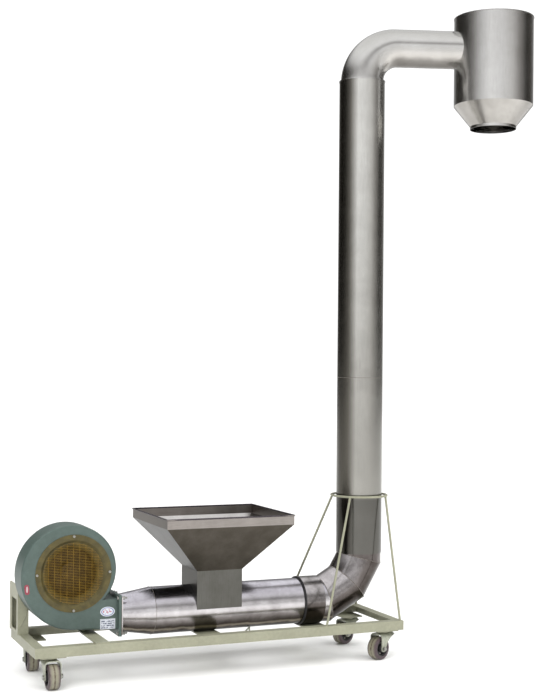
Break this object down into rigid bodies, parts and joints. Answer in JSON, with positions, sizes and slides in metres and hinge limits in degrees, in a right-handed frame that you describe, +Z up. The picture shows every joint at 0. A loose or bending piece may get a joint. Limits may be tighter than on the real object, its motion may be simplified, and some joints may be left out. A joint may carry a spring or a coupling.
{
  "type": "pneumatic grain conveyor",
  "caption": "Mobile pneumatic grain conveyor: blower, feed hopper and stainless duct with a riser and cyclone discharge head on an angle-iron caster trolley",
  "frame": {"origin": "centre of the bounding box's footprint, on the floor under the wheels", "axes": "+Z up, +Y from the guarded blower inlet side to the motor side, +X from the blower along the duct to the riser"},
  "size_m": [2.3112, 0.7316, 2.886],
  "materials": {
    "cream_paint": "satin",
    "fan_green": "semi gloss",
    "yellow_zinc": "yellow passivated zinc",
    "label_plate": "printed",
    "dark_steel": "matt",
    "bare_steel": "ground",
    "black_plastic": "matt",
    "motor_paint": "semi gloss",
    "zinc_steel": "zinc plated",
    "red_rubber": "matt",
    "stainless": "satin brushed",
    "black_rubber": "matt",
    "wheel_tread": "matt"
  },
  "bodies": {
    "trolley": {"cable_gland": "black_plastic", "caster_plates": "cream_paint", "duct_crossbars": "cream_paint", "elbow_collar": "stainless", "elbow_gore_lower": "stainless", "elbow_gore_upper": "stainless", "elbow_inlet": "stainless", "fan_crossbar": "cream_paint", "feed_tube": "stainless", "frame_back_rail": "cream_paint", "frame_front_rail": "cream_paint", "frame_left_rail": "cream_paint", "frame_right_rail": "cream_paint", "guard_screws": "yellow_zinc", "hopper_funnel": "stainless", "hopper_neck": "stainless", "hopper_rim": "stainless", "injector_nozzle": "stainless", "inlet_mesh": "yellow_zinc", "inlet_ring": "yellow_zinc", "joint_gasket": "black_rubber", "motor_bearings": "bare_steel", "motor_end_shields": "motor_paint", "motor_fan_cover": "motor_paint", "motor_foot_bolts": "zinc_steel", "motor_frame": "motor_paint", "motor_stand_legs": "cream_paint", "motor_stand_plate": "cream_paint", "outlet_bolts": "zinc_steel", "outlet_gasket": "red_rubber", "reducer_cone": "stainless", "riser_lower": "stainless", "riser_stays": "cream_paint", "riser_upper": "stainless", "stay_ring": "cream_paint", "swivel_collar": "stainless", "terminal_box": "motor_paint", "volute_back_cover": "fan_green", "volute_casing": "fan_green", "volute_labels": "label_plate"},
    "rotor": {"impeller": "dark_steel", "motor_shaft": "bare_steel", "motor_fan": "black_plastic"},
    "head": {"top_bend": "stainless", "head_arm": "stainless", "discharge_shell": "stainless", "discharge_roof": "stainless", "discharge_cone": "stainless"},
    "swivel_front_left": {"caster_fork_front_left": "zinc_steel", "caster_axle_front_left": "zinc_steel"},
    "wheel_front_left": {"caster_wheel_front_left": "wheel_tread"},
    "swivel_front_right": {"caster_fork_front_right": "zinc_steel", "caster_axle_front_right": "zinc_steel"},
    "wheel_front_right": {"caster_wheel_front_right": "wheel_tread"},
    "swivel_back_left": {"caster_fork_back_left": "zinc_steel", "caster_axle_back_left": "zinc_steel"},
    "wheel_back_left": {"caster_wheel_back_left": "wheel_tread"},
    "swivel_back_right": {"caster_fork_back_right": "cream_paint", "caster_axle_back_right": "zinc_steel"},
    "wheel_back_right": {"caster_wheel_back_right": "wheel_tread"}
  },
  "joints": [
    {"name": "impeller_spin", "type": "hinge", "parent": "trolley", "child": "rotor", "pos_m": [-0.93971, 0.06879, 0.432], "axis": [0, 1, 0], "continuous": true},
    {"name": "head_swivel", "type": "hinge", "parent": "trolley", "child": "head", "pos_m": [0.39629, 0.00379, 2.578], "axis": [0, 0, 1], "continuous": true},
    {"name": "swivel_front_left", "type": "hinge", "parent": "trolley", "child": "swivel_front_left", "pos_m": [-1.05871, -0.17021, 0.11], "axis": [0, 0, 1], "continuous": true},
    {"name": "roll_front_left", "type": "hinge", "parent": "swivel_front_left", "child": "wheel_front_left", "pos_m": [-1.05871, -0.20021, 0.05], "axis": [1, 0, 0], "continuous": true},
    {"name": "swivel_front_right", "type": "hinge", "parent": "trolley", "child": "swivel_front_right", "pos_m": [0.43129, -0.17021, 0.11], "axis": [0, 0, 1], "continuous": true},
    {"name": "roll_front_right", "type": "hinge", "parent": "swivel_front_right", "child": "wheel_front_right", "pos_m": [0.40348, -0.18145, 0.05], "axis": [0.3746, -0.9272, 0], "continuous": true},
    {"name": "swivel_back_left", "type": "hinge", "parent": "trolley", "child": "swivel_back_left", "pos_m": [-1.05871, 0.17779, 0.11], "axis": [0, 0, 1], "continuous": true},
    {"name": "roll_back_left", "type": "hinge", "parent": "swivel_back_left", "child": "wheel_back_left", "pos_m": [-1.06132, 0.1479, 0.05], "axis": [0.9962, -0.0872, 0], "continuous": true},
    {"name": "swivel_back_right", "type": "hinge", "parent": "trolley", "child": "swivel_back_right", "pos_m": [0.43129, 0.17779, 0.11], "axis": [0, 0, 1], "continuous": true},
    {"name": "roll_back_right", "type": "hinge", "parent": "swivel_back_right", "child": "wheel_back_right", "pos_m": [0.4031, 0.16753, 0.05], "axis": [0.342, -0.9397, 0], "continuous": true}
  ]
}
